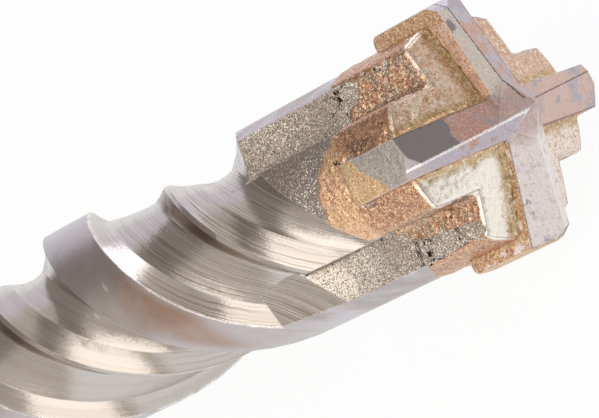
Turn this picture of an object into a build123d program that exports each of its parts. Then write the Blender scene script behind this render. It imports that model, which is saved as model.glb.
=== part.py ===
from build123d import *
import math
import os

# Masonry drill bit with a four-wing carbide head and an 18 mm grooved hammer shank.
# Millimetres. The bit lies along +X with its tip at +X, and the origin is the centre of
# the shank's end face. +Z is up: the four wings stand at 45 degrees, two up and two down.

# Driving dimensions
overall_length = 320.0
carbide_diameter = 25.0
land_diameter = 21.8
shank_diameter = 18.0
flute_pitch = 75.0

# Carbide cross: one plate thickness for all four wings
wing_thickness = 4.2
wing_foot_depth = 15.8
wing_foot_round = 0.8
ridge_inner_offset = 0.6
ridge_outer_offset = 1.2
ridge_slope = 15.0
ridge_start_depth = 2.55
ridge_start_radius = 3.3
facet_slope = 27.0
corner_back = 0.9
corner_slope = 64.0
corner_turn = 20.0

# Braze layer round the cross
braze_gap = 0.12

# Straight head with four lands
cut_clearance = 1.0
arm_width = 10.6
front_depth = 3.4
front_slope = 22.3
straight_head_length = 41.3

# Twisted body: angles go round the axis from one land's front edge, radii from the axis
land_radius = land_diameter / 2
twist_end_angle = 55.8
land_angle = 43.5
floor_radius = 7.5
wall_foot_radius = 7.75
ramp_foot_radius = 8.2
rib_radius = 9.45
shallow_foot_radius = 8.5
shallow_mid_radius = 8.65
ridge_foot_radius = 9.15
wall_foot_angle = 61.0
floor_angle = 76.0
ramp_foot_angle = 91.0
rib_front_angle = 111.0
rib_back_angle = 115.5
shallow_foot_angle = 128.0
shallow_mid_angle = 150.0
ridge_foot_angle = 169.0
half_turn = 180.0

# Mouths of the deep flutes, which open through two of the straight lands
mouth_length = 25.3
mouth_clearance = 1.5

# Back ends of the two notches that the shallow channels run into. Each slanted section
# has its depth where it meets the axis, and its height at the ramp's inner and outer side.
ramp_slant = 37.0
ramp_base = 4.5
ramp_inner = 2.0
ramp_outer = 10.0
ramp_start_heights = (8.14, 5.9)
ramp_sections = (
    (41.99, 7.91, 5.51),
    (38.27, 8.01, 5.19),
    (33.87, 5.1, 5.1),
)

# Back end of the flutes, neck and shank
neck_start = 105.0
body_start = 111.0
flute_start = 116.0
runout_end = 140.0
shank_chamfer = 1.5
shank_chamfer_length = 2.5

# Grooves of the shank
drive_groove_width = 5.0
drive_groove_depth = 2.7
drive_groove_length = 48.0
drive_groove_angles = (90.0, 215.0, 325.0)
lock_groove_radius = 3.0
lock_groove_start = 20.0
lock_groove_end = 52.0
lock_groove_lift = 0.4

# Derived places
tip_radius = carbide_diameter / 2
shank_radius = shank_diameter / 2
half_arm = arm_width / 2
slot_width = wing_thickness + 2 * braze_gap
slot_floor_depth = wing_foot_depth + braze_gap
head_start = overall_length - straight_head_length
twist_per_mm = 360.0 / flute_pitch


def along(x, slant=0.0):
    """Plane across the axis at x: its X points up to one wing, its normal to the tip.

    A slant, in degrees, turns it about that X, so that its Y leans towards the tip.
    """
    lean = math.radians(slant)
    side = math.sin(lean) / math.sqrt(2)
    return Plane(origin=(x, 0, 0), x_dir=(0, -1, 1), z_dir=(math.cos(lean), side, side))


def polar(radius, angle):
    """Point of a cross-section at an angle from its X."""
    turn = math.radians(angle)
    return (radius * math.cos(turn), radius * math.sin(turn))


def channels_and_rib(start):
    """Outline from a high land's back edge, over both channels and the rib, to the next land."""
    wall_top = polar(land_radius, start + land_angle)
    wall_foot = polar(wall_foot_radius, start + wall_foot_angle)
    floor_middle = polar(floor_radius, start + floor_angle)
    ramp_foot = polar(ramp_foot_radius, start + ramp_foot_angle)
    rib_front = polar(rib_radius, start + rib_front_angle)
    rib_back = polar(rib_radius, start + rib_back_angle)
    shallow_foot = polar(shallow_foot_radius, start + shallow_foot_angle)
    shallow_middle = polar(shallow_mid_radius, start + shallow_mid_angle)
    ridge_foot = polar(ridge_foot_radius, start + ridge_foot_angle)
    Line(wall_top, wall_foot)
    ThreePointArc(wall_foot, floor_middle, ramp_foot)
    Polyline(ramp_foot, rib_front, rib_back, shallow_foot)
    ThreePointArc(shallow_foot, shallow_middle, ridge_foot)
    Line(ridge_foot, polar(land_radius, start + half_turn))


def flute_section(front_angle):
    """Closed outline of the twisted body: two high lands, two ribs and four channels."""
    for side in (0.0, half_turn):
        start = front_angle + side
        CenterArc((0, 0), land_radius, start, land_angle)
        channels_and_rib(start)


def mouth_section(front_angle):
    """Space over both channels and their rib, out to a circle beyond the lands."""
    channels_and_rib(front_angle)
    outer = land_radius + mouth_clearance
    outer_end = polar(outer, front_angle + half_turn)
    outer_middle = polar(outer, front_angle + (land_angle + half_turn) / 2)
    outer_start = polar(outer, front_angle + land_angle)
    Line(polar(land_radius, front_angle + half_turn), outer_end)
    ThreePointArc(outer_end, outer_middle, outer_start)
    Line(outer_start, polar(land_radius, front_angle + land_angle))


def beyond_front():
    """Half outline of the space in front of the head's cone, to be turned about the axis."""
    front_x = overall_length - front_depth
    rim_x = front_x - land_radius * math.tan(math.radians(front_slope))
    end_x = overall_length + cut_clearance
    Line((front_x, 0), (rim_x, land_radius))
    Polyline((rim_x, land_radius), (rim_x, carbide_diameter), (end_x, carbide_diameter), (end_x, 0), (front_x, 0))


def cross(width):
    """Cross of two equal bars, longer than the head is wide."""
    Rectangle(carbide_diameter, width)
    Rectangle(width, carbide_diameter)


def ramp_outline(heights, slant):
    """Outline of a ramp section whose plane is slanted across the notch by an angle."""
    stretch = 1 / math.cos(math.radians(slant))
    inner = ramp_inner * stretch
    outer = ramp_outer * stretch
    Polyline((ramp_base, inner), (heights[0], inner), (heights[1], outer), (ramp_base, outer), close=True)


# One wing of the carbide cross: a plate with a roof whose ridge lies off its middle
corner_radius = tip_radius - corner_back
ridge_skew = (ridge_outer_offset - ridge_inner_offset) / (corner_radius - ridge_start_radius)
ridge_axis_offset = ridge_inner_offset - ridge_skew * ridge_start_radius
ridge_drop = math.tan(math.radians(ridge_slope))
facet_drop = math.tan(math.radians(facet_slope))
ridge_axis_depth = ridge_start_depth - ridge_drop * ridge_start_radius
wing_top = overall_length - ridge_axis_depth
wing_foot = overall_length - wing_foot_depth

with BuildPart() as wing:
    with BuildSketch(along(wing_foot)) as wing_outline:
        Rectangle(tip_radius, wing_thickness, align=(Align.MIN, Align.CENTER))
        Circle(tip_radius, mode=Mode.INTERSECT)
    extrude(amount=wing_top - wing_foot)
    foot_edge = wing.edges().filter_by(GeomType.CIRCLE).sort_by(Axis.X)[0]
    fillet(foot_edge, wing_foot_round)
    ridge_plane = along(wing_top)
    ridge_point = ridge_plane.from_local_coords((0, ridge_axis_offset, 0))
    ridge_line = ridge_plane.from_local_coords((1, ridge_axis_offset + ridge_skew, -ridge_drop)) - ridge_point
    for side in (1, -1):
        across = ridge_plane.from_local_coords((0, ridge_axis_offset + side, -facet_drop)) - ridge_point
        facet = Plane(origin=ridge_point, x_dir=ridge_line, z_dir=ridge_line.cross(across) * side)
        split(bisect_by=facet, keep=Keep.BOTTOM)
    corner_depth = -ridge_drop * corner_radius
    corner_point = ridge_plane.from_local_coords((corner_radius, ridge_outer_offset, corner_depth))
    lean = math.radians(corner_slope)
    turn = math.radians(corner_turn)
    outward = (math.sin(lean) * math.cos(turn), math.sin(lean) * math.sin(turn), math.cos(lean))
    corner_normal = ridge_plane.from_local_coords(outward) - ridge_plane.origin
    split(bisect_by=Plane(origin=corner_point, z_dir=corner_normal), keep=Keep.BOTTOM)

# Centring tip: a four-sided point whose edges run into the ridges
tip_turn = math.degrees(math.atan2(ridge_inner_offset, ridge_start_radius))
tip_reach = math.hypot(ridge_inner_offset, ridge_start_radius)

with BuildPart() as centre_tip:
    with BuildSketch(along(overall_length - ridge_start_depth)) as tip_base:
        RegularPolygon(tip_reach, 4, rotation=tip_turn)
    loft(sections=[tip_base.sketch.faces()[0], Vertex(overall_length, 0, 0)])
    extrude(to_extrude=tip_base.sketch, amount=-ridge_start_depth)

with BuildPart() as carbide_cross_head:
    for quarter in range(4):
        add(wing.part.rotate(Axis.X, 90.0 * quarter))
    add(centre_tip.part)

# Twisted body, swept along the axis with a right-hand turn
with BuildPart() as twisted_body:
    twisted_length = head_start - flute_start
    with BuildLine() as flute_axis:
        Line((flute_start, 0, 0), (head_start, 0, 0))
    with BuildLine() as flute_guide:
        Helix(flute_pitch, twisted_length, land_radius, center=(flute_start, 0, 0), direction=(1, 0, 0))
    with BuildSketch(along(flute_start)):
        with BuildLine():
            flute_section(twist_end_angle - twist_per_mm * twisted_length)
        make_face()
    sweep(path=flute_axis.wire(), binormal=flute_guide.wire())

# Mouth of a deep flute, which cuts off the back end of one straight land
with BuildPart() as flute_mouth:
    with BuildLine() as mouth_axis:
        Line((head_start, 0, 0), (head_start + mouth_length, 0, 0))
    with BuildLine() as mouth_guide:
        Helix(flute_pitch, mouth_length, land_radius, center=(head_start, 0, 0), direction=(1, 0, 0))
    with BuildSketch(along(head_start)):
        with BuildLine():
            mouth_section(twist_end_angle + half_turn)
        make_face()
    sweep(path=mouth_axis.wire(), binormal=mouth_guide.wire())
    with BuildSketch(along(head_start)):
        with Locations((half_arm, 0)):
            Rectangle(carbide_diameter, carbide_diameter, align=(Align.MAX, Align.MIN))
    extrude(amount=mouth_length, mode=Mode.SUBTRACT)

# Ramp at a notch's back end: the shallow channel runs on over it, then it falls to the
# notch's side along a slanted line
with BuildPart() as notch_ramp:
    with BuildSketch(along(head_start)):
        with BuildLine():
            ramp_outline(ramp_start_heights, 0.0)
        make_face()
    for depth, inner_height, outer_height in ramp_sections:
        with BuildSketch(along(overall_length - depth, ramp_slant)):
            with BuildLine():
                ramp_outline((inner_height, outer_height), ramp_slant)
            make_face()
    loft(ruled=True)
    with BuildSketch(along(head_start)):
        Circle(land_radius)
    extrude(amount=straight_head_length, mode=Mode.INTERSECT)

# Steel body: twisted part, straight head, neck and shank in one piece
with BuildPart() as steel_body:
    add(twisted_body.part)
    with BuildSketch(along(head_start)):
        cross(arm_width)
        Circle(land_radius, mode=Mode.INTERSECT)
    extrude(amount=straight_head_length)
    add(flute_mouth.part, mode=Mode.SUBTRACT)
    add(flute_mouth.part.rotate(Axis.X, half_turn), mode=Mode.SUBTRACT)
    add(notch_ramp.part)
    add(notch_ramp.part.rotate(Axis.X, half_turn))

    # Front of the head: a shallow cone
    with BuildSketch(Plane.XY):
        with BuildLine():
            beyond_front()
        make_face()
    revolve(axis=Axis.X, mode=Mode.SUBTRACT)

    # Cross slot for the carbide
    with BuildSketch(along(overall_length - slot_floor_depth)):
        cross(slot_width)
    extrude(amount=slot_floor_depth, mode=Mode.SUBTRACT)

    # Shank, neck and the cone on which the flutes run out
    with BuildSketch(Plane.XY):
        with BuildLine():
            Polyline(
                (0, 0),
                (0, shank_radius - shank_chamfer),
                (shank_chamfer_length, shank_radius),
                (neck_start, shank_radius),
                (body_start, land_radius),
                (flute_start, land_radius),
                (runout_end, floor_radius),
                (runout_end, 0),
                close=True,
            )
        make_face()
    revolve(axis=Axis.X)

    # Drive grooves, open at the end face
    for angle in drive_groove_angles:
        groove_plane = Plane(origin=(0, 0, 0), x_dir=(1, 0, 0), z_dir=(0, 0, 1)).offset(shank_radius)
        with BuildSketch(groove_plane.rotated((angle - 90.0, 0, 0), ordering=Extrinsic.XYZ)):
            Rectangle(drive_groove_length, drive_groove_width, align=(Align.MIN, Align.CENTER))
        extrude(amount=-drive_groove_depth, mode=Mode.SUBTRACT)

    # Locking grooves, round in section and closed by a cone at both ends
    for side in (1, -1):
        groove_y = side * (shank_radius + lock_groove_lift)
        with BuildSketch(Plane(origin=(0, groove_y, 0))):
            with BuildLine():
                Polyline(
                    (lock_groove_start, 0),
                    (lock_groove_start + lock_groove_radius, lock_groove_radius),
                    (lock_groove_end - lock_groove_radius, lock_groove_radius),
                    (lock_groove_end, 0),
                    close=True,
                )
            make_face()
        revolve(axis=Axis((0, groove_y, 0), (1, 0, 0)), mode=Mode.SUBTRACT)

# Braze layer: what is left of the slot round the cross
with BuildPart() as braze_joint:
    with BuildSketch(along(overall_length - slot_floor_depth)):
        cross(slot_width)
        Circle(land_radius, mode=Mode.INTERSECT)
    extrude(amount=slot_floor_depth)
    with BuildSketch(Plane.XY):
        with BuildLine():
            beyond_front()
        make_face()
    revolve(axis=Axis.X, mode=Mode.SUBTRACT)
    with BuildSketch(along(wing_foot)):
        cross(wing_thickness)
    extrude(amount=wing_foot_depth, mode=Mode.SUBTRACT)

steel_body.part.label = "steel_body"
carbide_cross_head.part.label = "carbide_cross_head"
braze_joint.part.label = "braze_joint"

os.makedirs("parts", exist_ok=True)
export_step(steel_body.part, "parts/steel_body.step")
export_step(carbide_cross_head.part, "parts/carbide_cross_head.step")
export_step(braze_joint.part, "parts/braze_joint.step")

for piece in (steel_body, carbide_cross_head, braze_joint):
    print(piece.part.label, len(piece.part.solids()), piece.part.is_valid, round(piece.part.volume, 1))
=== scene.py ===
import math
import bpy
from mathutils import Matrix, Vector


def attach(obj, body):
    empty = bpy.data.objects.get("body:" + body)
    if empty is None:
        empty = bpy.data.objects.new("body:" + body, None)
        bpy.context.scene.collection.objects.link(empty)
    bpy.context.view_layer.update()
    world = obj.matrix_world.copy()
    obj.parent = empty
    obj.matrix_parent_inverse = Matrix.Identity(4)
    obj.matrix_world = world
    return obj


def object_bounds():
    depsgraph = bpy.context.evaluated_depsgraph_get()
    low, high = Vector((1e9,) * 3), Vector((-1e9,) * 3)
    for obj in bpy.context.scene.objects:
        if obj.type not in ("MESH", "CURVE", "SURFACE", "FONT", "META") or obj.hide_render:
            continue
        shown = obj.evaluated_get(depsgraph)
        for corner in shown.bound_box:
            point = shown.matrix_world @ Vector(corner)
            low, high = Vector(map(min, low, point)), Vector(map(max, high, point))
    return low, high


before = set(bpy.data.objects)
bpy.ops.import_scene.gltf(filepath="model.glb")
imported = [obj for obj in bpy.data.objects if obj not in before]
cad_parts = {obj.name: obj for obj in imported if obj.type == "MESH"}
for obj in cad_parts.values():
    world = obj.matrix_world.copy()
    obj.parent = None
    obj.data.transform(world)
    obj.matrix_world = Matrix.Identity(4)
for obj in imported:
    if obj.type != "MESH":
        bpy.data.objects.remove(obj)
from types import SimpleNamespace
import bpy
from mathutils import Matrix, Vector

# The bit's own axes, in millimetres: depth along the axis (0 at the tip, negative behind
# it), w towards the wing whose end faces the viewer, v towards the wing below that one.
# A phase is an angle round the bit in degrees, turned back by the twist, so that it stays
# the same along a flute.
cad_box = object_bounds()
overall_length = 320.0
tip = Vector((overall_length / 1000, 0.0, 0.0))
from_world = math.radians(225.0)
to_world = math.radians(135.0)
twist_per_mm = 360.0 / 75.0
land_radius = 10.9
half_arm = 5.3
half_wing = 2.1
wing_end = 12.5
wing_foot = -15.8
head_back = -41.3
flutes_end = -204.5
front_depth = 3.4
front_fall = 0.41
# The wings' ridges lie off the middle, more so farther out
ridge_at_axis = 0.36
ridge_lean = 0.0723
# Border between milled flute and blasted flank in two of the notches
border_depth = -38.27
border_slope = 0.7536
# Border between the lands of two wings and the flutes beside them
corner_depth = -24.9
corner_slope = 1.095

# Places of marks on the steel. Four numbers are where a mark starts, is full, is still full
# and ends.
step_phases = (9.0, 10.0, 17.0, 22.0)
burr_phases = (72.8, 73.6, 74.6, 75.4)
tint_depths = (-61.0, -54.0, -50.0, -45.0)
tint_phases = (252.0, 262.0, 282.0, 298.0)
# Depth, w and v of each pit and how far it reaches
pit_places = (
    ((-19.9, 5.3, -8.2), 0.45),
    ((-20.2, 5.3, -9.0), 0.3),
    ((-13.4, 5.3, -9.3), 0.25),
    ((-16.8, 5.3, 8.7), 0.42),
    ((-17.1, 5.3, 7.6), 0.3),
    ((-11.8, 5.3, 7.8), 0.2),
    ((-33.7, 5.3, 5.45), 0.35),
    ((-35.3, 5.3, 5.4), 0.25),
    ((-22.4, 5.3, 5.5), 0.2),
)
# Depth and phase of the light flecks on the land, and the land's length for one degree
fleck_places = ((-60.0, 275.6), (-67.6, 321.7))
land_per_degree = math.radians(land_radius)
# Depth, w and v of the gap in the braze at the near wing's foot, painted dark as shade, and the crust
# beside it
foot_gap = (-17.3, 10.65, -2.5)
crust_depths = (-16.4, -15.2, -11.6, -10.6)

# Half the width of the border between two finishes
blend = 0.1
# Patterns are told by how many of their forms go to a millimetre, so 9 makes grains of 0.11 mm.
# Real grit marks and grains are finer, and these are drawn as coarse as they need to show.
grains_per_mm = 9.0
# Lengths in metres: how high the patterns stand, how far edges are rounded, and how far worn edges and
# painted edge highlights reach
grain_height = 0.00002
line_height = 0.000006
stain_height = 0.00003
edge_radius = 0.00012
edge_wear = 0.00018

# A RANGE turns a value into a mask. After the value come where the mask is 0 and where it is
# 1, and a last pair, where there is one, is what the mask gives instead of 0 and 1.
MATH = "ShaderNodeMath"
VECTOR = "ShaderNodeVectorMath"
NOISE = "ShaderNodeTexNoise"
VORONOI = "ShaderNodeTexVoronoi"
RANGE = "ShaderNodeMapRange"
MIX = "ShaderNodeMix"
smooth = {"interpolation_type": "SMOOTHSTEP"}
paint = {"data_type": "RGBA", "out": 2}


def linear(hex_colour):
    """sRGB hex to linear RGBA."""
    parts = [int(hex_colour[i:i + 2], 16) / 255 for i in (1, 3, 5)]
    return [c / 12.92 if c <= 0.04045 else ((c + 0.055) / 1.055) ** 2.4 for c in parts] + [1.0]


def add(tree, kind, feeds=(), out=0, **settings):
    """Add one node with its settings and feeds, and give back one of its outputs."""
    made = tree.nodes.new(kind)
    for name, value in settings.items():
        setattr(made, name, value)
    pairs = feeds.items() if isinstance(feeds, dict) else enumerate(feeds)
    for key, value in pairs:
        if isinstance(value, bpy.types.NodeSocket):
            tree.links.new(value, made.inputs[key])
        else:
            made.inputs[key].default_value = linear(value) if isinstance(value, str) else value
    return made.outputs[out]


def all_of(tree, *masks):
    """1 only where every mask is 1; a plain number among them is the mark's strength."""
    result = masks[0]
    for mask in masks[1:]:
        result = add(tree, MATH, (result, mask), operation="MULTIPLY")
    return result


def any_of(tree, *masks):
    """1 where at least one mask is 1."""
    result = masks[0]
    for mask in masks[1:]:
        result = add(tree, MATH, (result, mask), operation="MAXIMUM")
    return result


def other_than(tree, mask):
    """0 where the mask is 1, and 1 where it is 0."""
    return add(tree, MATH, (1.0, mask), operation="SUBTRACT")


def between(tree, value, limits, **settings):
    """1 between the two inner limits, fading to 0 at the two outer ones."""
    low, full, still_full, high = limits
    rise = add(tree, RANGE, (value, low, full), **settings)
    fall = add(tree, RANGE, (value, high, still_full), **settings)
    return all_of(tree, rise, fall)


def halves(tree, value):
    """1 where the value is positive, then 1 where it is negative, blended near 0."""
    positive = add(tree, RANGE, (value, -0.4, 0.4))
    return positive, other_than(tree, positive)


def layered(tree, colour, *layers):
    """Lay each (mask, colour) over what is under it."""
    for mask, top in layers:
        colour = add(tree, MIX, {0: mask, 6: colour, 7: top}, **paint)
    return colour


def blended(tree, value, *layers):
    """Lay each (mask, value) over what is under it."""
    for mask, top in layers:
        value = add(tree, MIX, {0: mask, 2: value, 3: top})
    return value


def bit_place(tree):
    """The place in the bit's own axes, what follows from it, and grains of random colours."""
    at = SimpleNamespace()
    at.place = add(tree, "ShaderNodeMapping", {
        "Vector": add(tree, "ShaderNodeTexCoord", out="Object"),
        "Location": (-overall_length, 0, 0),
        "Rotation": (from_world, 0, 0),
        "Scale": (1000, 1000, 1000),
    })
    at.depth = add(tree, "ShaderNodeSeparateXYZ", (at.place,))
    at.w = at.depth.node.outputs[1]
    at.v = at.depth.node.outputs[2]
    flat_place = add(tree, "ShaderNodeCombineXYZ", (0.0, at.w, at.v))
    at.radius = add(tree, VECTOR, (flat_place,), out="Value", operation="LENGTH")
    at.height_w = add(tree, MATH, (at.w,), operation="ABSOLUTE")
    at.height_v = add(tree, MATH, (at.v,), operation="ABSOLUTE")
    at.cells = add(tree, VORONOI, {"Vector": at.place, "Scale": grains_per_mm}, out="Color")
    at.speck = add(tree, "ShaderNodeSeparateXYZ", (at.cells,))
    return at


def new_material(name, metallic):
    made = bpy.data.materials.new(name)
    made.use_nodes = True
    shader = made.node_tree.nodes["Principled BSDF"]
    shader.inputs["Metallic"].default_value = metallic
    return made, made.node_tree, shader


def finish_surface(tree, shader, colour, rough, cells, unevenness, heights):
    """Feed the shader: grains tilted at random, and each height map as a bump on the last."""
    tilt = add(tree, VECTOR, (cells, (0.5, 0.5, 0.5)), operation="SUBTRACT")
    tilt = add(tree, VECTOR, {0: tilt, "Scale": unevenness}, operation="SCALE")
    normal = add(tree, "ShaderNodeBevel", {"Radius": edge_radius}, samples=4)
    normal = add(tree, VECTOR, (normal, tilt), operation="ADD")
    normal = add(tree, VECTOR, (normal,), operation="NORMALIZE")
    for height, distance in heights:
        feeds = {"Height": height, "Distance": distance, "Strength": 1.0, "Normal": normal}
        normal = add(tree, "ShaderNodeBump", feeds)
    tree.links.new(colour, shader.inputs["Base Color"])
    tree.links.new(rough, shader.inputs["Roughness"])
    tree.links.new(normal, shader.inputs["Normal"])


def crevice(tree, reach):
    """1 in tight inner corners, 0 on open faces: the mask for painted shade in the corners."""
    open_sky = add(tree, "ShaderNodeAmbientOcclusion", {"Distance": reach}, out="AO", samples=6)
    return add(tree, RANGE, (open_sky, 0.65, 0.25), **smooth)


def sharp_edge(tree):
    """1 on outer edges, 0 on flat faces: the mask for a painted highlight along the edges."""
    inward = {"samples": 6, "only_local": True, "inside": True}
    filled = add(tree, "ShaderNodeAmbientOcclusion", {"Distance": edge_wear}, out="AO", **inward)
    return add(tree, RANGE, (filled, 0.88, 0.55), **smooth)


def steel_patterns(tree, at):
    """Phases, then grit, patches and clouds, lines and passes of the cutter, and turned rings."""
    grit_per_mm = 7.0
    patches_per_mm = 0.45
    clouds_per_mm = 0.14
    rings_per_mm = 4.0
    # On the land these are 4 lines to a millimetre and passes of 1.7 mm
    lines_per_degree = 0.8
    passes_per_degree = 0.11
    line_stretch = 0.09

    angle = add(tree, MATH, (at.v, at.w), operation="ARCTAN2")
    angle = add(tree, MATH, (angle, 180.0 / math.pi, 360.0), operation="MULTIPLY_ADD")
    phase = add(tree, MATH, (at.depth, -twist_per_mm, angle), operation="MULTIPLY_ADD")
    at.half_phase = add(tree, MATH, (phase, 180.0), operation="FLOORED_MODULO")
    at.full_phase = add(tree, MATH, (phase, 360.0), operation="FLOORED_MODULO")

    solid = {"Vector": at.place, "Roughness": 0.6}
    clouds = {"Vector": at.place, "Scale": clouds_per_mm, "Detail": 3.0, "Roughness": 0.5}
    at.grit = add(tree, NOISE, {**solid, "Scale": grit_per_mm, "Detail": 2.0})
    at.patches = add(tree, NOISE, {**solid, "Scale": patches_per_mm, "Detail": 5.0})
    at.cloud = add(tree, NOISE, clouds)

    # The cutter's lines are long: they fade out and in again every 14 mm along the flute
    along_flute = add(tree, MATH, (at.depth, line_stretch), operation="MULTIPLY")
    streak = add(tree, "ShaderNodeCombineXYZ", (at.full_phase, along_flute, 0.0))
    lines = {"Vector": streak, "Scale": lines_per_degree, "Detail": 2.0, "Roughness": 0.7}
    rings = {"W": at.depth, "Scale": rings_per_mm, "Detail": 2.0, "Roughness": 0.7}
    passes = {"W": at.full_phase, "Scale": passes_per_degree, "Detail": 1.0}
    at.lines = add(tree, NOISE, lines, noise_dimensions="2D")
    at.rings = add(tree, NOISE, rings, noise_dimensions="1D")
    at.passes = add(tree, NOISE, passes, noise_dimensions="1D")


def steel_finishes(tree, at):
    """Where the steel is land, milled, turned or left blasted."""
    at.on_land = add(tree, RANGE, (at.radius, land_radius - 0.14, land_radius - 0.05), **smooth)
    at.off_land = other_than(tree, at.on_land)
    at.turned = add(tree, RANGE, (at.depth, flutes_end + 0.3, flutes_end - 0.3), **smooth)
    at.fluted = other_than(tree, at.turned)
    at.in_twist = add(tree, RANGE, (at.depth, head_back + blend, head_back - blend), **smooth)
    at.in_head = other_than(tree, at.in_twist)

    # The flanks of the notches are flat and blasted; the milled flutes run out between them
    from_flanks = []
    for height in (at.height_w, at.height_v):
        past_flank = add(tree, MATH, (height, half_arm), operation="SUBTRACT")
        from_flanks.append(add(tree, MATH, (past_flank,), operation="ABSOLUTE"))
    from_flank = add(tree, MATH, from_flanks, operation="MINIMUM")
    off_flank = add(tree, RANGE, (from_flank, 0.01, 0.03))
    border = add(tree, MATH, (at.height_v, border_slope, border_depth), operation="MULTIPLY_ADD")
    ahead = add(tree, MATH, (at.depth, border), operation="SUBTRACT")
    same_side = add(tree, MATH, (at.w, at.v), operation="MULTIPLY")
    blasted_end = all_of(
        tree,
        add(tree, RANGE, (ahead, -blend, blend), **smooth),
        add(tree, RANGE, (same_side, 0.0, 1.0)),
        add(tree, RANGE, (at.height_v, half_arm - blend, half_arm)),
    )
    behind_wings = add(tree, RANGE, (at.depth, wing_foot, wing_foot - 0.3))
    mouth = all_of(tree, off_flank, behind_wings, other_than(tree, blasted_end))
    at.milled = all_of(tree, any_of(tree, at.in_twist, mouth), at.off_land, at.fluted)
    at.smoothed = add(tree, MATH, (at.milled, at.turned), operation="ADD")
    at.blasted = other_than(tree, at.smoothed)


def blasted_colour(tree, at):
    """Grains with bright specks, painted shade on two lands and painted light on the other two and on
    part of a flank, and greyer on the twist.
    """
    head_land = all_of(tree, at.on_land, at.in_head)
    two_lands = add(tree, MATH, (at.height_w, at.height_v), operation="GREATER_THAN")
    dark_land = all_of(tree, head_land, two_lands, add(tree, RANGE, (at.speck, 0.9, 0.8)))
    pale_land = all_of(tree, head_land, other_than(tree, two_lands), 0.85)
    dull_cloud = all_of(tree, at.in_head, add(tree, RANGE, (at.cloud, 0.62, 0.34), **smooth), 0.6)
    cream_flank = all_of(
        tree, at.off_land,
        add(tree, RANGE, (at.w, 2.0, 3.5)),
        add(tree, RANGE, (at.v, half_arm + 0.1, half_arm + 0.3)),
        add(tree, RANGE, (at.depth, -20.0, -31.0), **smooth),
        add(tree, RANGE, (at.speck, 0.15, 0.35)),
        0.55,
    )
    dull_twist = all_of(tree, at.in_twist, add(tree, RANGE, (at.patches, 0.3, 0.7)), 0.5)
    return layered(
        tree, "#b8ada1",
        (add(tree, RANGE, (at.speck, 0.35, 0.65)), "#cdc3b8"),
        (add(tree, RANGE, (at.speck, 0.86, 0.94)), "#f6f1ea"),
        (add(tree, RANGE, (at.speck, 0.12, 0.04)), "#968b81"),
        # Painted shade on two lands, painted light on the other two
        (dark_land, "#a69d96"),
        (pale_land, "#dad6dc"),
        (dull_cloud, "#a3988d"),
        # Painted light on the part of the flank that faces the lamp
        (cream_flank, "#fffaf0"),
        (at.in_twist, "#c8c2c4"),
        (dull_twist, "#b5aca6"),
    )


def milled_colour(tree, at):
    """Cutter lines along the flutes, clearest near the head."""
    fresh = add(tree, RANGE, (at.depth, -72.0, -46.0, 0.12, 1.0), **smooth)
    dark_line = all_of(tree, add(tree, RANGE, (at.lines, 0.46, 0.32)), fresh)
    bright_line = all_of(tree, add(tree, RANGE, (at.lines, 0.58, 0.72)), fresh)
    dull_pass = all_of(tree, add(tree, RANGE, (at.passes, 0.44, 0.70), **smooth), 0.3)
    return layered(
        tree, "#ccc7c2",
        (dark_line, "#a0968d"),
        (bright_line, "#e0dbd6"),
        (dull_pass, "#b8aca1"),
    )


def turned_colour(tree, at):
    """Even grey with fine dark rings and a few dull patches."""
    dull_patch = all_of(tree, add(tree, RANGE, (at.patches, 0.45, 0.7), **smooth), 0.5)
    return layered(
        tree, "#c9c5c1",
        (add(tree, RANGE, (at.rings, 0.46, 0.32)), "#b3aeaa"),
        (dull_patch, "#b8b2ad"),
    )


def pits_and_cracks(tree, at):
    """1 in the pits, then 1 in the fine cracks round them."""
    wander = 1.1
    waves_per_mm = 2.2
    cracks_per_mm = 0.45
    waves = {"Vector": at.place, "Scale": waves_per_mm, "Detail": 2.0}
    ragged = add(tree, NOISE, waves, out="Color")
    feeds = (ragged, (wander, wander, wander), (-wander / 2, -wander / 2, -wander / 2))
    ragged = add(tree, VECTOR, feeds, operation="MULTIPLY_ADD")
    ragged = add(tree, VECTOR, (at.place, ragged), operation="ADD")
    pits = []
    surroundings = []
    for spot, reach in pit_places:
        away = add(tree, VECTOR, (ragged, spot), out="Value", operation="DISTANCE")
        pits.append(add(tree, RANGE, (away, reach, reach * 0.6), **smooth))
        surroundings.append(add(tree, RANGE, (away, reach * 6, reach * 4), **smooth))
    web = {"Vector": ragged, "Scale": cracks_per_mm}
    cracks = add(tree, VORONOI, web, feature="DISTANCE_TO_EDGE")
    cracks = add(tree, RANGE, (cracks, 0.04, 0.018))
    return any_of(tree, *pits), all_of(tree, any_of(tree, *surroundings), cracks, at.blasted)


def light_flecks(tree, at):
    """1 in the flecks on the land."""
    flecks = []
    for fleck_depth, fleck_phase in fleck_places:
        along = add(tree, MATH, (at.depth, fleck_depth), operation="SUBTRACT")
        feeds = (at.full_phase, land_per_degree, -land_per_degree * fleck_phase)
        round_land = add(tree, MATH, feeds, operation="MULTIPLY_ADD")
        flat = add(tree, "ShaderNodeCombineXYZ", (along, round_land, 0.0))
        away = add(tree, VECTOR, (flat,), out="Value", operation="LENGTH")
        flecks.append(add(tree, RANGE, (away, 0.5, 0.3), **smooth))
    return any_of(tree, *flecks)


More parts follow.
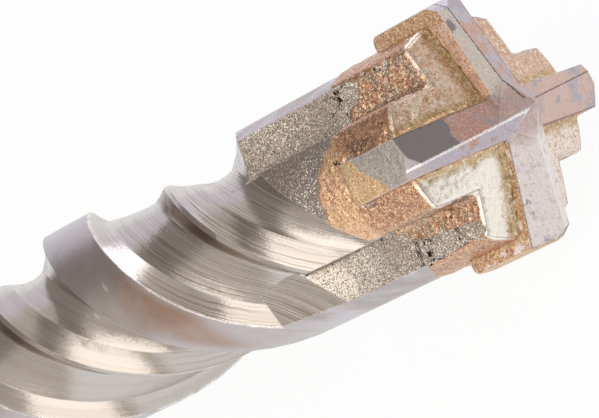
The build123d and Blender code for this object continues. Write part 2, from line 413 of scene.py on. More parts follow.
def blasted_steel():
    """Hardened steel, grit blasted on its head: matt warm grey with bright specks.

    The lands of its twist shine softly. The flutes are milled along the twist and are smoother
    still, so they mirror the room in streaks. The shank is turned, with fine rings round it.
    """
    material, tree, shader = new_material("steel_blasted_and_milled", metallic=1.0)
    at = bit_place(tree)
    steel_patterns(tree, at)
    steel_finishes(tree, at)

    # A brown painted shade on the step beside each rib, a heat tint on the land and a burr there with a
    # painted glint, and worn edges with a painted highlight
    step = all_of(tree, between(tree, at.half_phase, step_phases, **smooth), at.milled)
    tint = all_of(
        tree, at.on_land,
        between(tree, at.depth, tint_depths, **smooth),
        between(tree, at.full_phase, tint_phases, **smooth),
        add(tree, RANGE, (at.cloud, 0.20, 0.52), **smooth),
        0.75,
    )
    burr = all_of(
        tree, at.in_twist, at.fluted,
        between(tree, at.half_phase, burr_phases),
        add(tree, RANGE, (at.radius, 10.5, 10.7)),
        add(tree, RANGE, (at.grit, 0.42, 0.5)),
        add(tree, RANGE, (at.patches, 0.40, 0.50)),
    )
    pits, cracks = pits_and_cracks(tree, at)
    worn_edge = all_of(tree, sharp_edge(tree), add(tree, RANGE, (at.grit, 0.25, 0.5)))
    colour = layered(
        tree, blasted_colour(tree, at),
        (at.milled, milled_colour(tree, at)),
        (at.turned, turned_colour(tree, at)),
        (tint, "#ab8974"),
        # Painted shade on the step wall beside each rib
        (step, "#87705f"),
        (cracks, "#4f463f"),
        (pits, "#2f2620"),
        (light_flecks(tree, at), "#e6e0da"),
        # Bright burr on the land's edge, with a painted glint along it
        (burr, "#fbf8f4"),
        # Painted shade in the tight inner corners
        (crevice(tree, 0.0006), "#3a2c23"),
        # Worn edges, made near white by a painted highlight
        (worn_edge, "#efeaec"),
    )
    rough = blended(
        tree, add(tree, RANGE, (at.grit, 0.3, 0.7, 0.40, 0.54)),
        (at.milled, add(tree, RANGE, (at.lines, 0.3, 0.7, 0.17, 0.26))),
        (all_of(tree, at.in_twist, at.on_land), 0.30),
        (at.turned, add(tree, RANGE, (at.rings, 0.3, 0.7, 0.24, 0.32))),
    )
    unevenness = blended(tree, 0.42, (any_of(tree, at.in_twist, at.smoothed), 0.06))
    worked = (all_of(tree, at.lines, at.milled), all_of(tree, at.rings, at.turned))
    heights = (
        (all_of(tree, at.grit, at.blasted), grain_height),
        (add(tree, MATH, worked, operation="ADD"), line_height),
    )
    finish_surface(tree, shader, colour, rough, at.cells, unevenness, heights)
    return material


def carbide_wings(tree, at):
    """Which wing a place is on, and whether it lies on the wing's top, side, end or corner."""
    to_w, from_w = halves(tree, at.w)
    to_v, from_v = halves(tree, at.v)
    lead = add(tree, MATH, (at.height_w, at.height_v), operation="SUBTRACT")
    along_w = add(tree, RANGE, (lead, -0.3, 0.3))
    along_v = other_than(tree, along_w)
    at.near_wing = all_of(tree, along_w, to_w)
    at.far_wing = all_of(tree, along_w, from_w)
    at.upper_wing = all_of(tree, along_v, from_v)
    at.lower_wing = all_of(tree, along_v, to_v)
    # The near and lower wings get a painted highlight on their ridges, the other two painted shade
    at.bright_wings = add(tree, MATH, (at.near_wing, at.lower_wing), operation="ADD")
    at.dark_wings = add(tree, MATH, (at.upper_wing, at.far_wing), operation="ADD")
    at.gold_wings = add(tree, MATH, (at.upper_wing, at.lower_wing), operation="ADD")
    facing = add(tree, "ShaderNodeNewGeometry", out="True Normal")
    forwards = add(tree, "ShaderNodeSeparateXYZ", (facing,))
    at.on_top = add(tree, RANGE, (forwards, 0.3, 0.45))
    at.corner_facet = between(tree, forwards, (0.36, 0.40, 0.48, 0.52))
    at.at_end = add(tree, RANGE, (at.radius, wing_end - 0.25, wing_end - 0.1))


def carbide_facets(tree, at):
    """Where a place is across its wing, from the back edge over the ridge to the leading edge."""
    w_sign = add(tree, MATH, (at.upper_wing, at.lower_wing), operation="SUBTRACT")
    v_sign = add(tree, MATH, (at.near_wing, at.far_wing), operation="SUBTRACT")
    across = all_of(tree, at.w, w_sign)
    across = add(tree, MATH, (at.v, v_sign, across), operation="MULTIPLY_ADD")
    ridge = add(tree, MATH, (at.radius, ridge_lean, ridge_at_axis), operation="MULTIPLY_ADD")
    past_ridge = add(tree, MATH, (across, ridge), operation="SUBTRACT")
    at.front_facet = all_of(tree, at.on_top, add(tree, RANGE, (past_ridge, -0.05, 0.05)))

    wander = add(tree, RANGE, (at.grit, 0.35, 0.65, 0.06, -0.06))
    off_ridge = add(tree, MATH, (past_ridge,), operation="ABSOLUTE")
    off_ridge = add(tree, MATH, (off_ridge, wander), operation="ADD")
    # Painted highlight along the ridges of the lit wings, painted shade along the ridges of the shaded
    # wings and along the back edges
    bright_line = add(tree, RANGE, (off_ridge, 0.16, 0.07), **smooth)
    dark_line = add(tree, RANGE, (off_ridge, 0.10, 0.03), **smooth)
    at.bright_ridge = all_of(tree, at.on_top, bright_line, at.bright_wings)
    at.dark_ridge = all_of(tree, at.on_top, dark_line, at.dark_wings, 0.8)
    from_back = add(tree, MATH, (across, wander), operation="ADD")
    back_line = add(tree, RANGE, (from_back, 0.14 - half_wing, 0.06 - half_wing), **smooth)
    at.back_edge = all_of(tree, at.on_top, back_line, 0.7)

    height_across = add(tree, MATH, (across,), operation="ABSOLUTE")
    beside = add(tree, RANGE, (height_across, half_wing - 0.05, half_wing - 0.02))
    at.on_side = all_of(tree, beside, other_than(tree, at.on_top))
    patch_edge = add(tree, MATH, (at.patches, 4.0, at.radius), operation="MULTIPLY_ADD")
    far_out = add(tree, RANGE, (patch_edge, 9.4, 9.7), **smooth)
    off_front = other_than(tree, at.front_facet)
    at.bare_patch = all_of(tree, at.near_wing, at.on_top, far_out, off_front)


def carbide_stain(tree, at):
    """1 where flux and braze left a stain, less of it towards the ends of the wings."""
    amount = add(tree, MATH, (at.radius, -0.016, 0.16), operation="MULTIPLY_ADD")
    changes = (
        at.patches,
        add(tree, RANGE, (at.radius, 2.0, 4.5, -0.12, 0.0)),
        all_of(tree, at.lower_wing, 0.14),
        all_of(tree, at.far_wing, 0.05),
        all_of(tree, at.near_wing, 0.06),
        all_of(tree, at.upper_wing, at.front_facet, 0.08),
        all_of(tree, at.near_wing, at.front_facet, -0.16),
        all_of(tree, at.bare_patch, -0.4),
    )
    for change in changes:
        amount = add(tree, MATH, (amount, change), operation="ADD")
    return add(tree, RANGE, (amount, 0.51, 0.55), **smooth)


def stain_colour(tree, at):
    """Dull pink on the near wing, nearly white on the lower one and beige on the others."""
    lilac = all_of(tree, at.lower_wing, add(tree, RANGE, (at.mottle, 0.54, 0.62), **smooth), 0.6)
    by_axis = add(tree, RANGE, (at.radius, 3.6, 2.0))
    pale_speck = all_of(tree, add(tree, RANGE, (at.speck, 0.75, 0.9)), 0.6)
    brown_grit = add(tree, RANGE, (at.grit, 0.46, 0.36))
    brown_grit = all_of(tree, brown_grit, blended(tree, 0.4, (at.lower_wing, 0.2)))
    grey_grit = add(tree, RANGE, (at.grit, 0.52, 0.64))
    grey_grit = all_of(tree, grey_grit, blended(tree, 0.6, (at.lower_wing, 0.2)))
    return layered(
        tree, "#cba093",
        (at.lower_wing, "#fbf5f1"),
        (lilac, "#d4c9d0"),
        (at.far_wing, "#e3c8bb"),
        (at.upper_wing, "#d4ab98"),
        (all_of(tree, at.upper_wing, at.front_facet), "#fffaf2"),
        (by_axis, "#cfbab6"),
        (pale_speck, "#f6e4da"),
        (brown_grit, "#b08a7e"),
        (grey_grit, "#c8bac1"),
    )


def bare_colour(tree, at):
    """Dense grey, darker in one patch that was ground clean."""
    cloud = all_of(tree, add(tree, RANGE, (at.patches, 0.44, 0.34), **smooth), 0.5)
    return layered(
        tree, "#bbb3ba",
        (add(tree, RANGE, (at.grit, 0.42, 0.62)), "#cdc5cb"),
        (at.bare_patch, "#928e91"),
        (cloud, "#a39ba2"),
    )


def side_colour(tree, at):
    """Gold and brown mottling, paler along the upper wing's inner part."""
    pale_strip = all_of(
        tree, at.upper_wing,
        add(tree, RANGE, (at.radius, 10.8, 10.4)),
        add(tree, RANGE, (at.grit, 0.35, 0.5)),
    )
    return layered(
        tree, "#cba283",
        (add(tree, RANGE, (at.mottle, 0.50, 0.62)), "#e3c19a"),
        (add(tree, RANGE, (at.grit, 0.52, 0.64)), "#f5dfb8"),
        (add(tree, RANGE, (at.grit, 0.45, 0.36)), "#94694c"),
        (pale_strip, "#efd6c6"),
    )


def end_colour(tree, at):
    """Grey grains, with gold and brown over them on two of the wings."""
    gold = all_of(tree, at.gold_wings, add(tree, RANGE, (at.patches, 0.62, 0.50)))
    pale_gold = all_of(tree, at.gold_wings, add(tree, RANGE, (at.grit, 0.5, 0.62)))
    brown = all_of(tree, at.gold_wings, add(tree, RANGE, (at.grit, 0.44, 0.36)))
    return layered(
        tree, "#b3ada6",
        (add(tree, RANGE, (at.speck, 0.4, 0.8)), "#c6c0b9"),
        (gold, "#cda27c"),
        (pale_gold, "#e8c79a"),
        (brown, "#9b7454"),
    )


def braze_pool(tree, at):
    """1 where braze pooled on a wing's end, from its foot up to a slanted ragged line."""
    wander = add(tree, MATH, (at.patches, 7.0, -3.5), operation="MULTIPLY_ADD")
    pool_line = add(tree, MATH, (at.v, 0.9, -11.3), operation="MULTIPLY_ADD")
    pool_line = add(tree, MATH, (at.upper_wing, 4.5, pool_line), operation="MULTIPLY_ADD")
    above_line = add(tree, MATH, (at.depth, wander), operation="ADD")
    above_line = add(tree, MATH, (above_line, pool_line), operation="SUBTRACT")
    return all_of(tree, at.at_end, add(tree, RANGE, (above_line, 0.15, -0.15)))


def pool_colour(tree, at):
    return layered(
        tree, "#dcb98f",
        (add(tree, RANGE, (at.speck, 0.5, 0.9)), "#f5e0bb"),
        (add(tree, RANGE, (at.grit, 0.40, 0.34)), "#a0764f"),
    )


def sintered_carbide():
    """Sintered tungsten carbide, ground to its facets, heat tinted and stained by flux.

    A dense grey that shines softly where it is bare, and is dull pink where it is stained.
    """
    material, tree, shader = new_material("carbide_sintered_and_ground", metallic=0.85)
    at = bit_place(tree)
    patches_per_mm = 0.40
    mottle_per_mm = 1.4
    grit_per_mm = 6.0
    solid = {"Vector": at.place, "Roughness": 0.6}
    mottle = {"Vector": at.place, "Scale": mottle_per_mm, "Detail": 4.0, "Roughness": 0.65}
    at.patches = add(tree, NOISE, {**solid, "Scale": patches_per_mm, "Detail": 5.0})
    at.grit = add(tree, NOISE, {**solid, "Scale": grit_per_mm, "Detail": 3.0})
    at.mottle = add(tree, NOISE, mottle)
    carbide_wings(tree, at)
    carbide_facets(tree, at)
    stain = carbide_stain(tree, at)
    stained_side = all_of(tree, at.on_side, add(tree, RANGE, (at.patches, 0.62, 0.54), **smooth))
    colour = layered(
        tree, bare_colour(tree, at),
        (stain, stain_colour(tree, at)),
        (stained_side, side_colour(tree, at)),
        (at.at_end, end_colour(tree, at)),
        (all_of(tree, at.corner_facet, 0.85), "#b3adb4"),
        # Painted shade on the lower wing's corner facet
        (all_of(tree, at.corner_facet, at.lower_wing, 0.8), "#8b878e"),
        (braze_pool(tree, at), pool_colour(tree, at)),
        # Painted shade in the tight inner corners
        (crevice(tree, 0.0005), "#3c3032"),
        # Painted highlight along the outer edges
        (sharp_edge(tree), "#f1eaee"),
        # Painted shade along the back edges
        (at.back_edge, "#5a5054"),
        # Painted highlight along the ridges
        (at.bright_ridge, "#fdfbf9"),
        # Painted shade along the ridges
        (at.dark_ridge, "#5d565c"),
    )
    rough = blended(tree, add(tree, RANGE, (at.grit, 0.3, 0.7, 0.30, 0.44)), (stain, 0.52))
    unevenness = blended(tree, 0.08, (stain, 0.22))
    heights = ((at.grit, grain_height), (stain, stain_height))
    finish_surface(tree, shader, colour, rough, at.cells, unevenness, heights)
    return material


def braze_side_colour(tree, at):
    """Orange with paler mottling, greyer where it thins on the flanks and bright at its back."""
    on_flank = add(tree, RANGE, (at.radius, land_radius - 0.1, land_radius - 0.3))
    thin = all_of(tree, on_flank, add(tree, RANGE, (at.patches, 0.46, 0.56), **smooth))
    two_lands = add(tree, MATH, (at.height_w, at.height_v), operation="GREATER_THAN")
    wander = add(tree, MATH, (at.patches, 2.5, at.depth), operation="MULTIPLY_ADD")
    tongue = all_of(tree, two_lands, add(tree, RANGE, (wander, -15.2, -16.6), **smooth))
    return layered(
        tree, "#cf9f80",
        (add(tree, RANGE, (at.patches, 0.58, 0.42), **smooth), "#c2957d"),
        (thin, "#b3a394"),
        (tongue, "#fbd0a8"),
        (add(tree, RANGE, (at.mottle, 0.54, 0.64)), "#e6c39d"),
        (all_of(tree, add(tree, RANGE, (at.mottle, 0.44, 0.36)), 0.6), "#a4765c"),
        (add(tree, RANGE, (at.speck, 0.76, 0.94)), "#f6dcbd"),
        (all_of(tree, add(tree, RANGE, (at.speck, 0.16, 0.05)), 0.7), "#8a5a44"),
    )


def braze_front_colour(tree, at):
    """Pale gold, nearly white with painted light on the face towards the light, paler with painted
    light on a side face, with painted shade on the face away from it, and ochre along the carbide.
    """
    lit_face = all_of(tree, at.to_w, at.to_v)
    shaded_face = all_of(tree, at.from_w, at.from_v)
    side_face = all_of(tree, at.from_w, at.to_v)
    from_plate = add(tree, MATH, (at.height_w, at.height_v), operation="MINIMUM")
    from_plate = add(tree, MATH, (at.patches, -2.0, from_plate), operation="MULTIPLY_ADD")
    by_plate = all_of(tree, add(tree, RANGE, (from_plate, 2.45, 1.5), **smooth), 0.85)
    pale_mottle = all_of(tree, add(tree, RANGE, (at.mottle, 0.55, 0.66)), 0.7)
    brown_mottle = add(tree, RANGE, (at.mottle, 0.46, 0.36))
    brown_mottle = all_of(tree, brown_mottle, blended(tree, 0.7, (lit_face, 0.25)))
    pale_speck = all_of(tree, add(tree, RANGE, (at.speck, 0.8, 0.95)), 0.6)
    brown_speck = add(tree, RANGE, (at.speck, 0.14, 0.05))
    brown_speck = all_of(tree, brown_speck, blended(tree, 0.6, (lit_face, 0.1)))
    return layered(
        tree, "#f8e3d3",
        (add(tree, RANGE, (at.patches, 0.56, 0.36), **smooth), "#e6c1a6"),
        # Painted light on two faces and painted shade on one: lighter and darker copies of the same
        # braze
        (lit_face, "#fffaf0"),
        (shaded_face, "#dcb8a3"),
        (side_face, "#f5e6dc"),
        (by_plate, "#c29f68"),
        (pale_mottle, "#fff6e0"),
        (brown_mottle, "#bd9566"),
        (pale_speck, "#fffbee"),
        (brown_speck, "#a07a4a"),
    )


def copper_braze():
    """Copper braze, melted and left as it flowed: orange on the sides, pale gold on the front."""
    material, tree, shader = new_material("braze_copper_as_flowed", metallic=1.0)
    at = bit_place(tree)
    patches_per_mm = 0.7
    mottle_per_mm = 2.4
    grit_per_mm = 4.5
    solid = {"Vector": at.place, "Roughness": 0.6}
    mottle = {"Vector": at.place, "Scale": mottle_per_mm, "Detail": 3.0, "Roughness": 0.65}
    at.patches = add(tree, NOISE, {**solid, "Scale": patches_per_mm, "Detail": 4.0})
    at.grit = add(tree, NOISE, {**solid, "Scale": grit_per_mm, "Detail": 3.0})
    at.mottle = add(tree, NOISE, mottle)
    at.to_w, at.from_w = halves(tree, at.w)
    at.to_v, at.from_v = halves(tree, at.v)
    cone = add(tree, MATH, (at.radius, front_fall, front_depth), operation="MULTIPLY_ADD")
    past_cone = add(tree, MATH, (at.depth, cone), operation="ADD")
    front = add(tree, RANGE, (past_cone, -0.45, -0.2))

    # A dark crust of flux beside the near wing, and painted shade in the gap at its foot
    crust = all_of(
        tree, at.to_w, at.from_v,
        between(tree, at.depth, crust_depths),
        add(tree, RANGE, (at.height_v, 3.9, 3.4)),
        add(tree, RANGE, (at.height_w, 10.2, 10.4)),
        add(tree, RANGE, (at.mottle, 0.47, 0.53)),
        0.75,
    )
    away = add(tree, VECTOR, (at.place, foot_gap), out="Value", operation="DISTANCE")
    away = add(tree, MATH, (at.mottle, 2.4, away), operation="MULTIPLY_ADD")
    colour = layered(
        tree, braze_side_colour(tree, at),
        (front, braze_front_colour(tree, at)),
        (crust, "#6f6056"),
        # Painted shade in the gap at the wing's foot
        (add(tree, RANGE, (away, 1.62, 1.42), **smooth), "#3b2a22"),
        # Painted shade in the tight inner corners
        (crevice(tree, 0.0005), "#4a2f20"),
    )
    rough = add(tree, RANGE, (at.grit, 0.3, 0.7, 0.30, 0.46))
    finish_surface(tree, shader, colour, rough, at.cells, 0.25, ((at.grit, grain_height),))
    return material


looks = {
    "steel_body": blasted_steel(),
    "carbide_cross_head": sintered_carbide(),
    "braze_joint": copper_braze(),
}
for name, material in looks.items():
    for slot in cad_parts[name].material_slots:
        slot.material = material


# Braze that ran over the head: each of the four arms carries the same grid of points, raised
# by the braze's thickness and sunk below the steel where there is none. The first sheet's
# path runs round the arm's land from its middle, and on down the flanks beside it.
arms = 4
path_half_land = land_radius * math.asin(half_arm / land_radius)
corner_w = math.sqrt(land_radius ** 2 - half_arm ** 2)
path_half = path_half_land + corner_w - half_arm
sunk = -0.03
deepest = -0.12
wing_gap = 0.12
gap_depth = -0.3
hole_depth = -0.4
# The back edge of the braze is a bow over the land, and goes on straight along the flanks
land_edge_depth = -22.0
land_edge_bow = 0.09
bow_middle = 1.2
flank_edge_depth = -16.0
bare_strip_length = 9.0
far_behind = -20.0
# How far past its back edge the sheet is kept, to end under the steel
kept_past_edge = -0.35
# Forms of the braze's noise to a millimetre, and its step from one arm to the next
wander_per_mm = 0.3
lumps_per_mm = 1.1
front_lumps_per_mm = 1.2
holes_per_mm = 0.9
arm_step = 7.3
front_arm_step = 5.1


def braze_grid(name, sizes, columns, rows):
    """Start a tree with four grids on one another, and tell them apart by number."""
    tree = bpy.data.node_groups.new(name, "GeometryNodeTree")
    tree.interface.new_socket("Geometry", in_out="OUTPUT", socket_type="NodeSocketGeometry")
    sheet = SimpleNamespace(tree=tree, sizes=sizes, keys={})
    for label, value in sizes.items():
        kind = "NodeSocketMaterial" if isinstance(value, bpy.types.Material) else "NodeSocketFloat"
        socket = tree.interface.new_socket(label, in_out="INPUT", socket_type=kind)
        sheet.keys[label] = socket.identifier
    sheet.given = tree.nodes.new("NodeGroupInput").outputs
    feeds = {"Size X": 2.0, "Size Y": 1.0, "Vertices X": columns, "Vertices Y": rows}
    grid = add(tree, "GeometryNodeMeshGrid", feeds)
    points = add(tree, "GeometryNodePoints", {"Count": arms})
    copies = add(tree, "GeometryNodeInstanceOnPoints", {"Points": points, "Instance": grid})
    sheet.grids = add(tree, "GeometryNodeRealizeInstances", (copies,))
    index = add(tree, "GeometryNodeInputIndex")
    sheet.arm = add(tree, MATH, (index, columns * rows), operation="DIVIDE")
    sheet.arm = add(tree, MATH, (sheet.arm,), operation="FLOOR")
    position = add(tree, "GeometryNodeInputPosition")
    sheet.across = add(tree, "ShaderNodeSeparateXYZ", (position,))
    sheet.back = add(tree, MATH, (0.5, sheet.across.node.outputs[1]), operation="SUBTRACT")
    return sheet


def braze_piece(name, sheet, place, outside=None):
    """Put the points in place, drop those with no braze, and make the piece a plain mesh."""
    tree = sheet.tree
    turn = add(tree, MATH, (sheet.arm, math.tau / arms, to_world), operation="MULTIPLY_ADD")
    feeds = {"Vector": place, "Angle": turn}
    turned = add(tree, "ShaderNodeVectorRotate", feeds, rotation_type="X_AXIS")
    metres = add(tree, VECTOR, (turned, (0.001, 0.001, 0.001), tuple(tip)), operation="MULTIPLY_ADD")
    if outside is None:
        kept = add(tree, "GeometryNodeSetPosition", {"Geometry": sheet.grids, "Position": metres})
    else:
        # Which points to drop is worked out before they move
        marker = tree.nodes.new("GeometryNodeCaptureAttribute")
        marker.capture_items.new("FLOAT", "Outside")
        tree.links.new(sheet.grids, marker.inputs["Geometry"])
        tree.links.new(outside, marker.inputs["Outside"])
        feeds = {"Geometry": marker.outputs["Geometry"], "Position": metres}
        placed = add(tree, "GeometryNodeSetPosition", feeds)
        feeds = {"Geometry": placed, "Selection": marker.outputs["Outside"]}
        kept = add(tree, "GeometryNodeDeleteGeometry", feeds)
    rounded = add(tree, "GeometryNodeSetShadeSmooth", {"Geometry": kept})
    feeds = {"Geometry": rounded, "Material": sheet.given["Material"]}
    coated = add(tree, "GeometryNodeSetMaterial", feeds)
    output = tree.nodes.new("NodeGroupOutput")
    tree.links.new(coated, output.inputs[0])
    piece = bpy.data.objects.new(name, bpy.data.meshes.new(name))
    bpy.context.scene.collection.objects.link(piece)
    maker = piece.modifiers.new(name, "NODES")
    maker.node_group = tree
    for label, value in sheet.sizes.items():
        maker[sheet.keys[label]] = value
    made = piece.evaluated_get(bpy.context.evaluated_depsgraph_get())
    shape = bpy.data.meshes.new_from_object(made)
    piece.modifiers.remove(maker)
    piece.data = shape
    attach(piece, "root")


def run_path(sheet):
    """Each point's place along the path, and its depth between the front cone and the back."""
    tree = sheet.tree
    sheet.path = add(tree, MATH, (sheet.across, path_half), operation="MULTIPLY")
    sheet.length = add(tree, MATH, (sheet.path,), operation="ABSOLUTE")
    sheet.side = add(tree, MATH, (sheet.path,), operation="SIGN")
    sheet.past = add(tree, MATH, (sheet.length, path_half_land), operation="SUBTRACT")
    sheet.on_flank = add(tree, MATH, (sheet.past, 0.0), operation="GREATER_THAN")
    sheet.flank_w = add(tree, MATH, (corner_w, sheet.past), operation="SUBTRACT")
    flank_radius = add(tree, MATH, (sheet.flank_w, 2.0), operation="POWER")
    flank_radius = add(tree, MATH, (flank_radius, half_arm ** 2), operation="ADD")
    flank_radius = add(tree, MATH, (flank_radius, 0.5), operation="POWER")
    radius = blended(tree, land_radius, (sheet.on_flank, flank_radius))
    sheet.front = add(tree, MATH, (radius, -front_fall, -front_depth), operation="MULTIPLY_ADD")
    reach = add(tree, MATH, (sheet.given["Back Depth"], sheet.front), operation="SUBTRACT")
    sheet.depth = add(tree, MATH, (sheet.back, reach, sheet.front), operation="MULTIPLY_ADD")

    unlike = add(tree, MATH, (sheet.arm, arm_step, sheet.given["Seed"]), operation="MULTIPLY_ADD")
    spot = add(tree, "ShaderNodeCombineXYZ", (sheet.path, sheet.depth, 0.0))
    sheet.spot = {"Vector": spot, "W": unlike}


def run_back_edge(sheet):
    """How far inside the braze's back edge each point is: less than 0 where there is none."""
    tree = sheet.tree
    feeds = {**sheet.spot, "Scale": wander_per_mm, "Detail": 4.0, "Roughness": 0.5}
    wander = add(tree, NOISE, feeds, noise_dimensions="4D")
    wander = add(tree, MATH, (wander, 0.5), operation="SUBTRACT")
    bow = add(tree, MATH, (sheet.path, bow_middle), operation="SUBTRACT")
    bow = add(tree, MATH, (bow, 2.0), operation="POWER")
    land_edge = add(tree, MATH, (bow, land_edge_bow, land_edge_depth), operation="MULTIPLY_ADD")
    flank_edge = add(tree, MATH, (sheet.past, -1.0, flank_edge_depth), operation="MULTIPLY_ADD")
    bare_strip = all_of(
        tree,
        add(tree, MATH, (sheet.arm, 1.0, 0.1), operation="COMPARE"),
        add(tree, RANGE, (sheet.side, 0.0, -1.0)),
        add(tree, RANGE, (sheet.past, 2.6, 1.6), **smooth),
    )
    flank_edge = add(tree, MATH, (bare_strip, bare_strip_length, flank_edge), operation="MULTIPLY_ADD")
    down_flank = add(tree, RANGE, (sheet.past, -0.3, 0.7), **smooth)
    edge = blended(tree, land_edge, (down_flank, flank_edge))
    inside = add(tree, MATH, (sheet.depth, edge), operation="SUBTRACT")
    inside = add(tree, MATH, (wander, sheet.given["Wander"], inside), operation="MULTIPLY_ADD")

    # The lands of the first and third arm end at a flute, those of the others far behind
    other_arm = add(tree, MATH, (sheet.arm, 2.0), operation="MODULO")
    corner_line = add(tree, MATH, (sheet.path, corner_slope, corner_depth), operation="MULTIPLY_ADD")
    corner_line = add(tree, MATH, (other_arm, far_behind, corner_line), operation="MULTIPLY_ADD")
    off_corner = add(tree, MATH, (sheet.depth, corner_line), operation="SUBTRACT")
    return add(tree, MATH, (inside, off_corner), operation="MINIMUM")


def run_thickness(sheet, inside):
    """Thickness: lumps, thinner over the sharp edges, holes, and a gap round the wing's foot."""
    tree = sheet.tree
    body = add(tree, RANGE, (inside, -0.1, 0.6), **smooth)
    feeds = {**sheet.spot, "Scale": lumps_per_mm, "Detail": 3.0, "Roughness": 0.55}
    lump = add(tree, NOISE, feeds, noise_dimensions="4D")
    lump = add(tree, RANGE, (lump, 0.3, 0.7, 0.65, 1.3))
    from_rim = add(tree, MATH, (sheet.front, sheet.depth), operation="SUBTRACT")
    rim = add(tree, RANGE, (from_rim, 0.0, 0.4), **smooth)
    from_crease = add(tree, MATH, (sheet.past,), operation="ABSOLUTE")
    crease = add(tree, RANGE, (from_crease, 0.0, 0.4, 0.4, 1.0), **smooth)
    thick = all_of(tree, sheet.given["Thickness"], body, lump, rim, crease)
    corner = add(tree, RANGE, (sheet.length, path_half - 0.8, path_half, 0.0, 0.3), **smooth)
    thick = add(tree, MATH, (all_of(tree, corner, body, rim), thick), operation="ADD")

    beside = add(tree, MATH, (sheet.length, half_wing + wing_gap), operation="SUBTRACT")
    behind = add(tree, MATH, (wing_foot - wing_gap, sheet.depth), operation="SUBTRACT")
    off_foot = add(tree, MATH, (beside, behind), operation="MAXIMUM")
    near_foot = add(tree, RANGE, (off_foot, 0.45, 0.1), **smooth)
    far_back = add(tree, RANGE, (sheet.depth, -14.0, -15.5), **smooth)
    gap = all_of(tree, near_foot, far_back)
    thick = add(tree, MATH, (gap, gap_depth, thick), operation="MULTIPLY_ADD")
    feeds = {**sheet.spot, "Scale": holes_per_mm, "Detail": 2.0}
    hole = add(tree, NOISE, feeds, noise_dimensions="4D")
    hole = add(tree, MATH, (sheet.on_flank, 0.07, hole), operation="MULTIPLY_ADD")
    hole = add(tree, RANGE, (hole, 0.66, 0.72))
    thick = add(tree, MATH, (hole, hole_depth, thick), operation="MULTIPLY_ADD")
    thick = add(tree, MATH, (thick, sunk), operation="ADD")
    return add(tree, MATH, (thick, deepest), operation="MAXIMUM")


def run_place(sheet, thick):
    """Places on the land and on the flanks, in the arm's own axes."""
    tree = sheet.tree
    angle = add(tree, MATH, (sheet.path, land_radius), operation="DIVIDE")
    outer = add(tree, MATH, (thick, land_radius), operation="ADD")
    land_w = all_of(tree, outer, add(tree, MATH, (angle,), operation="COSINE"))
    land_v = all_of(tree, outer, add(tree, MATH, (angle,), operation="SINE"))
    flank_v = all_of(tree, sheet.side, add(tree, MATH, (thick, half_arm), operation="ADD"))
    w = blended(tree, land_w, (sheet.on_flank, sheet.flank_w))
    v = blended(tree, land_v, (sheet.on_flank, flank_v))
    return add(tree, "ShaderNodeCombineXYZ", (sheet.depth, w, v))


def braze_run():
    """Braze over the lands and flanks, with a raised round edge at its back."""
    sizes = {"Thickness": 0.17, "Wander": 4.5, "Back Depth": -25.0, "Seed": 3.0,
             "Material": looks["braze_joint"]}
    sheet = braze_grid("braze_run", sizes, columns=141, rows=118)
    run_path(sheet)
    inside = run_back_edge(sheet)
    place = run_place(sheet, run_thickness(sheet, inside))
    outside = add(sheet.tree, MATH, (inside, kept_past_edge), operation="LESS_THAN")
    braze_piece("braze_run_over_head", sheet, place, outside)


def braze_front():
    """Braze over the four L-shaped front faces, drawn up against the carbide."""
    sizes = {"Thickness": 0.14, "Fillet": 0.35, "Seed": 11.0, "Material": looks["braze_joint"]}
    sheet = braze_grid("braze_front", sizes, columns=161, rows=32)
    tree = sheet.tree

    # Rows run from the notch's edge in under the carbide, columns from one rim to the other
    inner = half_wing - 0.1
    cross = add(tree, MATH, (sheet.back, inner - half_arm, half_arm), operation="MULTIPLY_ADD")
    share = add(tree, MATH, (sheet.across,), operation="ABSOLUTE")
    end = add(tree, MATH, (cross, 2.0), operation="POWER")
    end = add(tree, MATH, (end, -1.0, land_radius ** 2), operation="MULTIPLY_ADD")
    end = add(tree, MATH, (end, 0.5), operation="POWER")
    span = add(tree, MATH, (end, cross), operation="SUBTRACT")
    along = add(tree, MATH, (share, span, cross), operation="MULTIPLY_ADD")
    on_first = add(tree, MATH, (sheet.across, 0.0), operation="GREATER_THAN")
    w = blended(tree, cross, (on_first, along))
    v = blended(tree, along, (on_first, cross))
    flat_place = add(tree, "ShaderNodeCombineXYZ", (0.0, w, v))
    radius = add(tree, VECTOR, (flat_place,), out="Value", operation="LENGTH")
    cone = add(tree, MATH, (radius, -front_fall, -front_depth), operation="MULTIPLY_ADD")

    # Thickness: lumps, thin at the rim and the notch, with a fillet against the carbide
    unlike = add(tree, MATH, (sheet.arm, front_arm_step, sheet.given["Seed"]), operation="MULTIPLY_ADD")
    feeds = {"Vector": flat_place, "W": unlike, "Scale": front_lumps_per_mm, "Detail": 3.0}
    lump = add(tree, NOISE, {**feeds, "Roughness": 0.55}, noise_dimensions="4D")
    lump = add(tree, RANGE, (lump, 0.3, 0.7, 0.5, 1.35))
    to_rim = all_of(tree, other_than(tree, share), span)
    rim = add(tree, RANGE, (to_rim, 0.0, 0.35), **smooth)
    to_notch = add(tree, MATH, (half_arm, cross), operation="SUBTRACT")
    notch = add(tree, RANGE, (to_notch, 0.0, 0.35), **smooth)
    thick = all_of(tree, sheet.given["Thickness"], lump, rim, notch)
    by_plate = add(tree, RANGE, (cross, half_wing + 0.55, half_wing), **smooth)
    fillet = all_of(tree, sheet.given["Fillet"], lump, by_plate, rim)
    thick = add(tree, MATH, (thick, fillet), operation="ADD")
    thick = add(tree, MATH, (thick, sunk), operation="ADD")
    depth = add(tree, MATH, (cone, thick), operation="ADD")
    braze_piece("braze_over_front_faces", sheet, add(tree, "ShaderNodeCombineXYZ", (depth, w, v)))


braze_run()
braze_front()


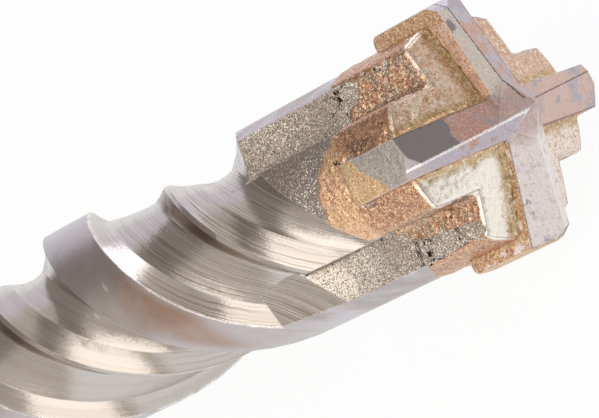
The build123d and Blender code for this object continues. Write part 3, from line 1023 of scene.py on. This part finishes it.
def studio_floor():
    """White floor that keeps a soft shadow."""
    level = cad_box[0][2]
    reach = 3.0
    corners = [(-reach, -reach), (reach, -reach), (reach, reach), (-reach, reach)]
    sheet = bpy.data.meshes.new("studio_floor")
    sheet.from_pydata([(x, y, level) for x, y in corners], [], [(0, 1, 2, 3)])
    floor = bpy.data.objects.new("studio_floor", sheet)
    bpy.context.scene.collection.objects.link(floor)
    material = bpy.data.materials.new("floor_white")
    material.use_nodes = True
    tree = material.node_tree
    tree.nodes.clear()
    ray = tree.nodes.new("ShaderNodeLightPath").outputs
    mirrored = add(tree, MATH, (ray["Is Glossy Ray"], 0.9), operation="MULTIPLY")
    seen = any_of(tree, ray["Is Camera Ray"], ray["Is Transmission Ray"], mirrored)
    white_share = add(tree, MATH, (seen, 0.95), operation="MULTIPLY")
    matt = add(tree, "ShaderNodeBsdfDiffuse", {"Color": "#f4f2f4"})
    glow = add(tree, "ShaderNodeEmission", {"Color": "#ffffff", "Strength": 1.0})
    mixed = add(tree, "ShaderNodeMixShader", {0: white_share, 1: matt, 2: glow})
    output = tree.nodes.new("ShaderNodeOutputMaterial")
    tree.links.new(mixed, output.inputs["Surface"])
    sheet.materials.append(material)


def towards(azimuth, elevation):
    """Direction in the room, in degrees."""
    round_room = math.radians(azimuth)
    upwards = math.radians(elevation)
    level = math.cos(upwards)
    return (level * math.cos(round_room), level * math.sin(round_room), math.sin(upwards))


def side_of_room(sky, direction, side, low, high):
    """1 towards that side, 0 away from it."""
    feeds = (direction, towards(*side))
    facing = add(sky, VECTOR, feeds, out="Value", operation="DOT_PRODUCT")
    return add(sky, RANGE, (facing, low, high), **smooth)


def white_room():
    """White to the eye, while metal mirrors a bright backdrop, a duller room and darker walls."""
    beyond_bit = (62, 0)
    left_of_shank = (107, 0)
    beyond_shank = (188, 0)
    behind_camera = (-33, 25)
    world = bpy.data.worlds.new("white_studio")
    bpy.context.scene.world = world
    world.use_nodes = True
    sky = world.node_tree
    sky.nodes.clear()
    direction = add(sky, "ShaderNodeTexCoord", out="Generated")
    height = add(sky, "ShaderNodeSeparateXYZ", (direction,), out="Z")
    low_down = add(sky, RANGE, (height, 0.16, 0.04), **smooth)
    backdrop = all_of(
        sky,
        side_of_room(sky, direction, beyond_bit, -0.02, 0.02),
        side_of_room(sky, direction, beyond_shank, 0.0, 0.1),
        add(sky, RANGE, (height, 0.66, 0.56), **smooth),
    )
    dark_wall = all_of(
        sky,
        side_of_room(sky, direction, beyond_bit, 0.02, -0.02),
        side_of_room(sky, direction, left_of_shank, -0.06, 0.06),
    )
    room = layered(
        sky, "#cfc6bd",
        (side_of_room(sky, direction, behind_camera, 0.5, 0.9), "#a39a92"),
        (dark_wall, "#938b86"),
        (backdrop, "#e6e2ec"),
        (all_of(sky, backdrop, low_down), "#ffffff"),
    )
    ray = sky.nodes.new("ShaderNodeLightPath").outputs
    seen = any_of(sky, ray["Is Camera Ray"], ray["Is Transmission Ray"])
    colour = layered(sky, "#c4c2c6", (ray["Is Glossy Ray"], room), (seen, "#ffffff"))
    background = add(sky, "ShaderNodeBackground", {"Color": colour, "Strength": 1.0})
    output = sky.nodes.new("ShaderNodeOutputWorld")
    sky.links.new(background, output.inputs["Surface"])
    bpy.context.scene.view_settings.view_transform = "Standard"


def softbox(name, azimuth, elevation, size, watts, colour):
    """A square lamp one metre from the tip."""
    lamp = bpy.data.lights.new(name, "AREA")
    lamp.energy = watts
    lamp.size = size
    lamp.color = linear(colour)[:3]
    holder = bpy.data.objects.new(name, lamp)
    bpy.context.scene.collection.objects.link(holder)
    outward = Vector(towards(azimuth, elevation))
    holder.location = tip + outward
    holder.rotation_euler = (-outward).to_track_quat("-Z", "Y").to_euler()


def photo_camera():
    """The camera as it stood for the photo: in metres, its place from the tip, aim and up."""
    place = tip + Vector((0.34265, -0.22641, 0.19497))
    aim = Vector((0.2809, 0.0008, 0.0009))
    roughly_up = Vector((0.2827, 0.8517, 0.4412))
    back = (place - aim).normalized()
    right = roughly_up.cross(back).normalized()
    up = back.cross(right)
    turn = Matrix((right, up, back)).transposed().to_4x4()
    lens = bpy.data.cameras.new("camera")
    lens.lens = 294.6
    lens.sensor_width = 36.0
    lens.clip_start = 0.01
    camera = bpy.data.objects.new("camera", lens)
    camera.matrix_world = Matrix.Translation(place) @ turn
    bpy.context.scene.collection.objects.link(camera)
    bpy.context.scene.camera = camera


studio_floor()
white_room()
softbox("left_softbox", -100, 40, 1.1, 4.3, "#fffaf3")
softbox("side_softbox", 98, 33, 0.6, 2.0, "#f6f4ff")
photo_camera()
